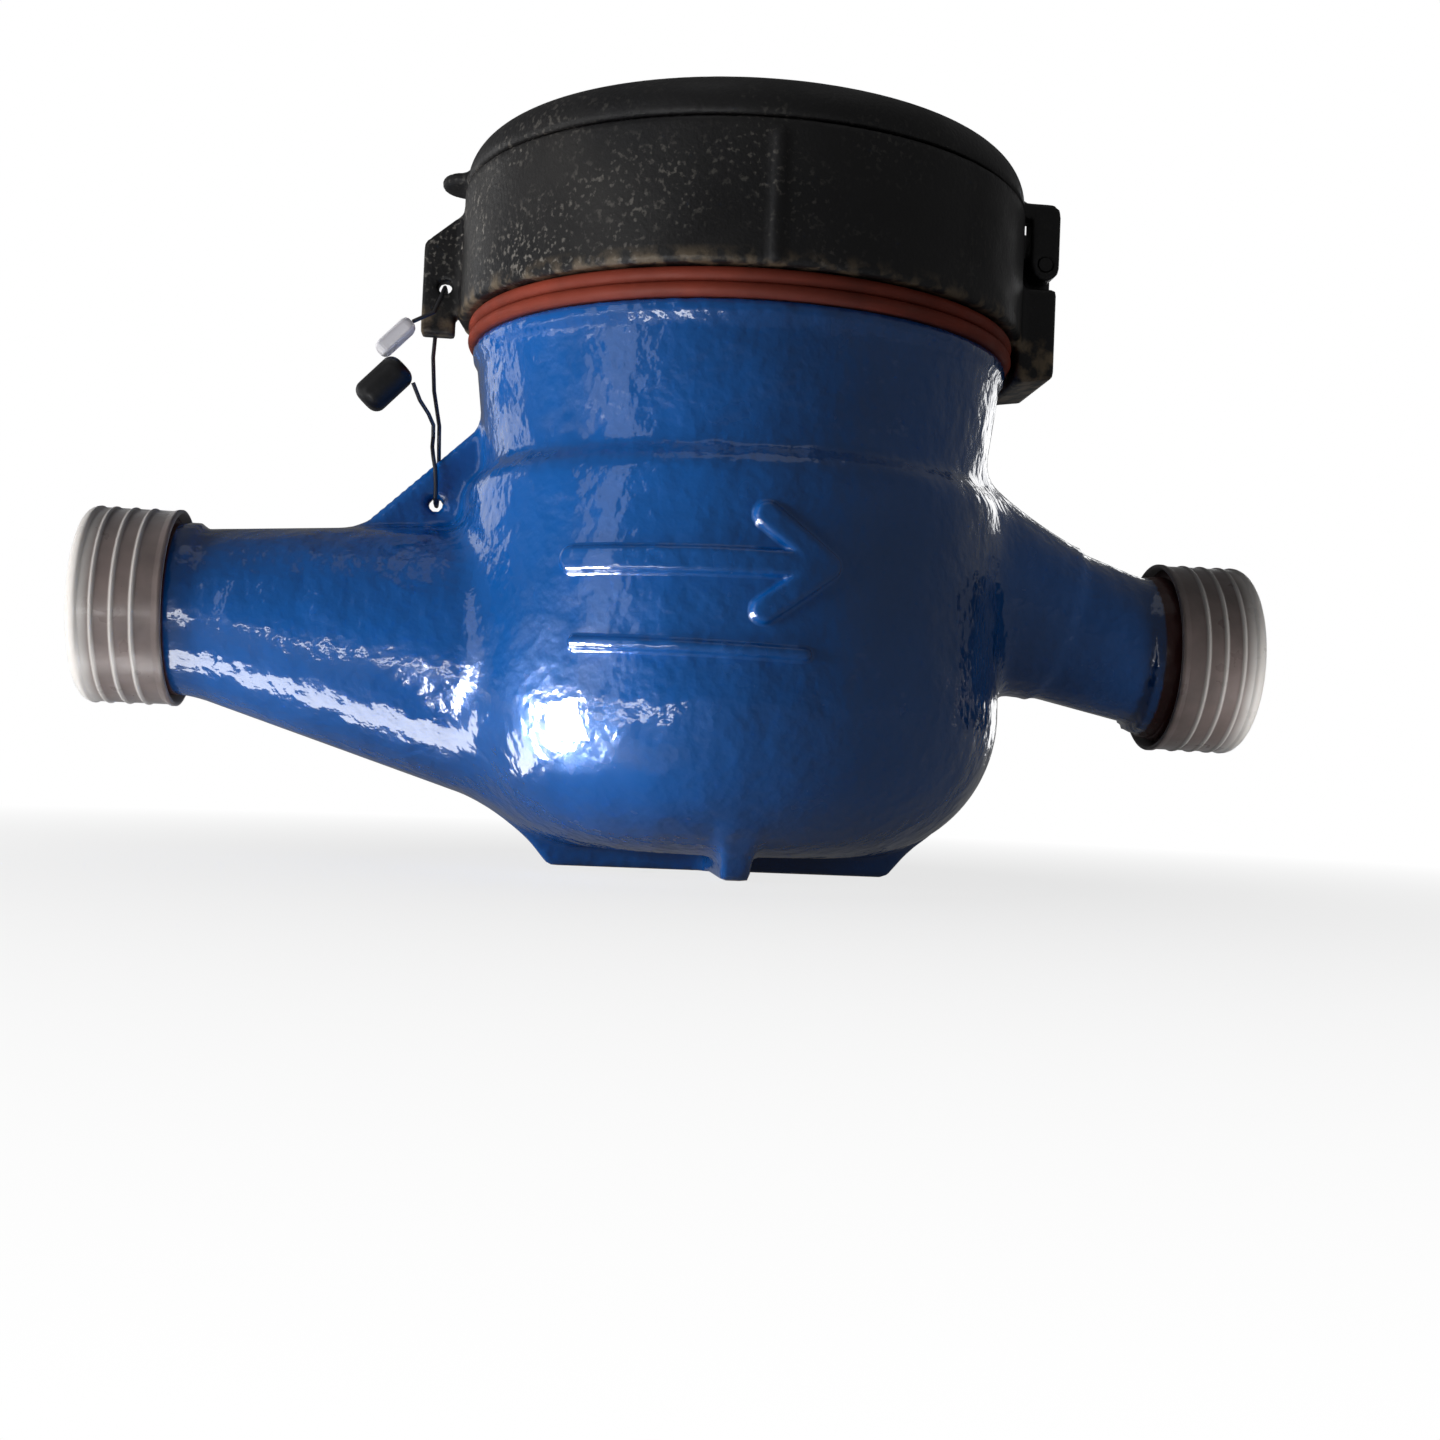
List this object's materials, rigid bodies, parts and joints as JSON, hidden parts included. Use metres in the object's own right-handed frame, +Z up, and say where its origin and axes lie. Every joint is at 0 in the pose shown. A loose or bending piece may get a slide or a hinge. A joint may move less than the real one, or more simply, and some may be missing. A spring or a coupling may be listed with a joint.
{
  "type": "water meter",
  "caption": "Multi-jet water meter with a blue cast body, offset threaded ends under milky caps, a black cover ring, a hinged lid and a wire seal.",
  "frame": {"origin": "barrel axis in the plane of the feet", "axes": "+X along the pipe from inlet to outlet, +Y to the back, +Z up"},
  "size_m": [0.1674, 0.0826, 0.1027],
  "materials": {
    "body_enamel": "glossy enamel",
    "cover_black": "grainy",
    "gasket_red": "dull",
    "cap_milky": "translucent",
    "seal_black": "dull",
    "seal_clear": "clear",
    "steel": "drawn",
    "chamber_ivory": "moulded",
    "impeller_white": "moulded",
    "bush_red": "polished",
    "seal_rubber": "dull",
    "plate_brass": "milled",
    "gear_white": "moulded",
    "case_grey": "moulded",
    "drum_black": "moulded",
    "dial_white": "printed",
    "pointer_red": "moulded",
    "star_blue": "moulded",
    "dial_glass": "polished"
  },
  "bodies": {
    "meter_body": {"body_casting": "body_enamel", "inlet_strainer": "chamber_ivory", "chamber_seal": "seal_rubber", "measuring_cup": "chamber_ivory", "pivot_pin": "steel", "chamber_cover": "chamber_ivory", "cover_bush": "bush_red", "gear_plate_lower": "plate_brass", "gear_plate_upper": "plate_brass", "plate_pillars": "plate_brass", "register_case": "case_grey", "drum_shaft": "steel", "dial_plate": "dial_white", "dial_screws": "steel", "glass_gasket": "seal_rubber", "register_glass": "dial_glass", "pressure_ring": "gear_white", "neck_gasket_lower": "gasket_red", "neck_gasket_upper": "gasket_red", "cover_ring": "cover_black", "hinge_pin": "cover_black", "seal_wire": "steel", "seal_rotor": "seal_black", "seal_shell": "seal_clear"},
    "lid": {"lid": "cover_black"},
    "inlet_cap": {"inlet_cap": "cap_milky"},
    "outlet_cap": {"outlet_cap": "cap_milky"},
    "impeller": {"impeller": "impeller_white", "impeller_bush": "bush_red", "impeller_shaft": "steel"},
    "gear_first": {"gear_first": "gear_white"},
    "gear_second": {"gear_second": "gear_white", "leak_star": "star_blue"},
    "gear_third": {"gear_third": "gear_white", "pointer_1_litre": "pointer_red"},
    "pointer_10_litre": {"pointer_10_litre": "pointer_red"},
    "pointer_100_litre": {"pointer_100_litre": "pointer_red"},
    "pointer_1000_litre": {"pointer_1000_litre": "pointer_red"},
    "number_drum_1": {"number_drum_1": "drum_black"},
    "number_drum_2": {"number_drum_2": "drum_black"},
    "number_drum_3": {"number_drum_3": "drum_black"},
    "number_drum_4": {"number_drum_4": "drum_black"},
    "number_drum_5": {"number_drum_5": "drum_black"}
  },
  "joints": [
    {"name": "lid_hinge", "type": "hinge", "parent": "meter_body", "child": "lid", "pos_m": [0.0431, 0, 0.0897], "axis": [0, 1, 0], "range_deg": [0, 100]},
    {"name": "inlet_cap_pull", "type": "slide", "parent": "meter_body", "child": "inlet_cap", "axis": [-1, 0, 0], "range_m": [0, 0.03]},
    {"name": "outlet_cap_pull", "type": "slide", "parent": "meter_body", "child": "outlet_cap", "axis": [1, 0, 0], "range_m": [0, 0.03]},
    {"name": "impeller_spin", "type": "hinge", "parent": "meter_body", "child": "impeller", "pos_m": [0, 0, 0.026], "axis": [0, 0, 1], "continuous": true},
    {"name": "gear_first_spin", "type": "hinge", "parent": "meter_body", "child": "gear_first", "pos_m": [0.00405, 0.0087, 0.05675], "axis": [0, 0, 1], "continuous": true},
    {"name": "gear_second_spin", "type": "hinge", "parent": "meter_body", "child": "gear_second", "pos_m": [0.00848, 0.00019, 0.05975], "axis": [0, 0, 1], "continuous": true},
    {"name": "gear_third_spin", "type": "hinge", "parent": "meter_body", "child": "gear_third", "pos_m": [0.01597, -0.00581, 0.06275], "axis": [0, 0, 1], "continuous": true},
    {"name": "pointer_10_litre_spin", "type": "hinge", "parent": "meter_body", "child": "pointer_10_litre", "pos_m": [0.00718, -0.01541, 0.076], "axis": [0, 0, 1], "continuous": true},
    {"name": "pointer_100_litre_spin", "type": "hinge", "parent": "meter_body", "child": "pointer_100_litre", "pos_m": [-0.00718, -0.01541, 0.076], "axis": [0, 0, 1], "continuous": true},
    {"name": "pointer_1000_litre_spin", "type": "hinge", "parent": "meter_body", "child": "pointer_1000_litre", "pos_m": [-0.01597, -0.00581, 0.076], "axis": [0, 0, 1], "continuous": true},
    {"name": "number_drum_1_spin", "type": "hinge", "parent": "meter_body", "child": "number_drum_1", "pos_m": [0.0096, 0.011, 0.0733], "axis": [1, 0, 0], "continuous": true},
    {"name": "number_drum_2_spin", "type": "hinge", "parent": "meter_body", "child": "number_drum_2", "pos_m": [0.0048, 0.011, 0.0733], "axis": [1, 0, 0], "continuous": true},
    {"name": "number_drum_3_spin", "type": "hinge", "parent": "meter_body", "child": "number_drum_3", "pos_m": [0, 0.011, 0.0733], "axis": [1, 0, 0], "continuous": true},
    {"name": "number_drum_4_spin", "type": "hinge", "parent": "meter_body", "child": "number_drum_4", "pos_m": [-0.0048, 0.011, 0.0733], "axis": [1, 0, 0], "continuous": true},
    {"name": "number_drum_5_spin", "type": "hinge", "parent": "meter_body", "child": "number_drum_5", "pos_m": [-0.0096, 0.011, 0.0733], "axis": [1, 0, 0], "continuous": true}
  ],
  "couplings": [
    {"joint": "gear_first_spin", "follows": "impeller_spin", "ratio": -0.33333},
    {"joint": "gear_second_spin", "follows": "impeller_spin", "ratio": 0.11111},
    {"joint": "gear_third_spin", "follows": "impeller_spin", "ratio": -0.037037},
    {"joint": "pointer_10_litre_spin", "follows": "impeller_spin", "ratio": -0.0037037},
    {"joint": "pointer_100_litre_spin", "follows": "impeller_spin", "ratio": -0.00037037},
    {"joint": "pointer_1000_litre_spin", "follows": "impeller_spin", "ratio": -0.000037037},
    {"joint": "number_drum_1_spin", "follows": "impeller_spin", "ratio": 0.0000037037},
    {"joint": "number_drum_2_spin", "follows": "impeller_spin", "ratio": 0.00000037037},
    {"joint": "number_drum_3_spin", "follows": "impeller_spin", "ratio": 0.000000037037},
    {"joint": "number_drum_4_spin", "follows": "impeller_spin", "ratio": 0.0000000037037},
    {"joint": "number_drum_5_spin", "follows": "impeller_spin", "ratio": 0.00000000037037}
  ]
}
